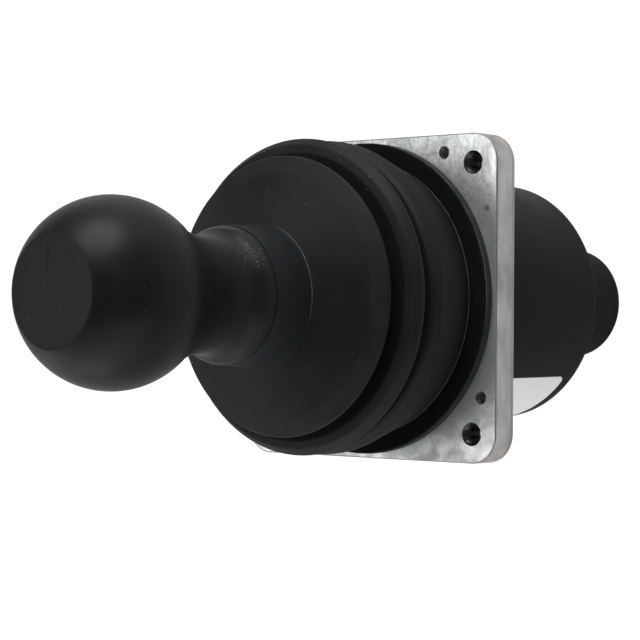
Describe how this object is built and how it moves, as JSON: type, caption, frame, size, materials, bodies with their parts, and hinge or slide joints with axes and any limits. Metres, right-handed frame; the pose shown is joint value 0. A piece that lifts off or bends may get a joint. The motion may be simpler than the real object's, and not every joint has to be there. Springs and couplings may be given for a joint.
{
  "type": "joystick controller",
  "caption": "Two-axis spring-centred joystick: round knob on a lever, bellows boot, square mounting plate, round housing and rear connector.",
  "frame": {"origin": "centre of the mounting plate's underside, which lies on the panel", "axes": "+Z along the upright lever towards the knob, X and Y along the plate's sides; the outer tilt axis is parallel to X"},
  "size_m": [0.0888, 0.0888, 0.2225],
  "materials": {
    "cast_aluminium": "mottled die-cast face, smoother sides",
    "boot_rubber": "matte moulded rubber with a little dust",
    "zinc_steel": "zinc plated",
    "screw_steel": "zinc plated",
    "spring_steel": "drawn wire",
    "bracket_aluminium": "machined",
    "bronze": "sintered bronze",
    "sensor_plastic": "moulded",
    "standoff_brass": "nickel plated brass",
    "board_laminate": "solder mask",
    "component_plastic": "moulded",
    "wire_sleeve": "insulated wire",
    "can_black": "plain matte black",
    "gasket_rubber": "matte",
    "screw_black": "black oxide",
    "label_film": "blank white film",
    "insert_plastic": "moulded",
    "contact_gold": "gold plated",
    "pin_steel": "ground steel",
    "rotor_plastic": "moulded",
    "hub_plastic": "moulded",
    "knob_plastic": "satin black plastic",
    "insert_brass": "turned brass"
  },
  "bodies": {
    "base": {"mounting_plate": "cast_aluminium", "boot": "boot_rubber", "gate_plate": "zinc_steel", "gate_screws": "screw_steel", "centring_spring": "spring_steel", "gimbal_carrier": "bracket_aluminium", "trunnion_bushes": "bronze", "x_sensor_housing": "sensor_plastic", "x_sensor_screws": "screw_steel", "upper_standoffs": "standoff_brass", "lower_standoffs": "standoff_brass", "sensor_board": "board_laminate", "board_components": "component_plastic", "board_header": "component_plastic", "lead_wires": "wire_sleeve", "housing_can": "can_black", "can_gasket": "gasket_rubber", "can_screws": "screw_black", "label": "label_film", "connector_shell": "can_black", "connector_nut": "zinc_steel", "connector_insert": "insert_plastic", "contact_pins": "contact_gold"},
    "gimbal": {"gimbal_ring": "bracket_aluminium", "trunnion_pins": "pin_steel", "x_sensor_rotor": "rotor_plastic", "cross_pin_bushes": "bronze", "y_sensor_housing": "sensor_plastic", "y_sensor_screws": "screw_steel"},
    "lever": {"lever_shaft": "pin_steel", "pivot_block": "bracket_aluminium", "cross_pin": "pin_steel", "lever_washer": "zinc_steel", "lever_nut": "zinc_steel", "y_sensor_rotor": "rotor_plastic", "boot_hub": "hub_plastic", "jam_nut": "zinc_steel", "knob": "knob_plastic", "knob_insert": "insert_brass"}
  },
  "joints": [
    {"name": "tilt_x", "type": "hinge", "parent": "base", "child": "gimbal", "pos_m": [0, 0, -0.0095], "axis": [1, 0, 0], "range_deg": [-18, 18], "stiffness_Nm_per_rad": 3, "deforming": ["boot", "centring_spring"]},
    {"name": "tilt_y", "type": "hinge", "parent": "gimbal", "child": "lever", "pos_m": [0, 0, -0.0095], "axis": [0, 1, 0], "range_deg": [-18, 18], "stiffness_Nm_per_rad": 3}
  ]
}
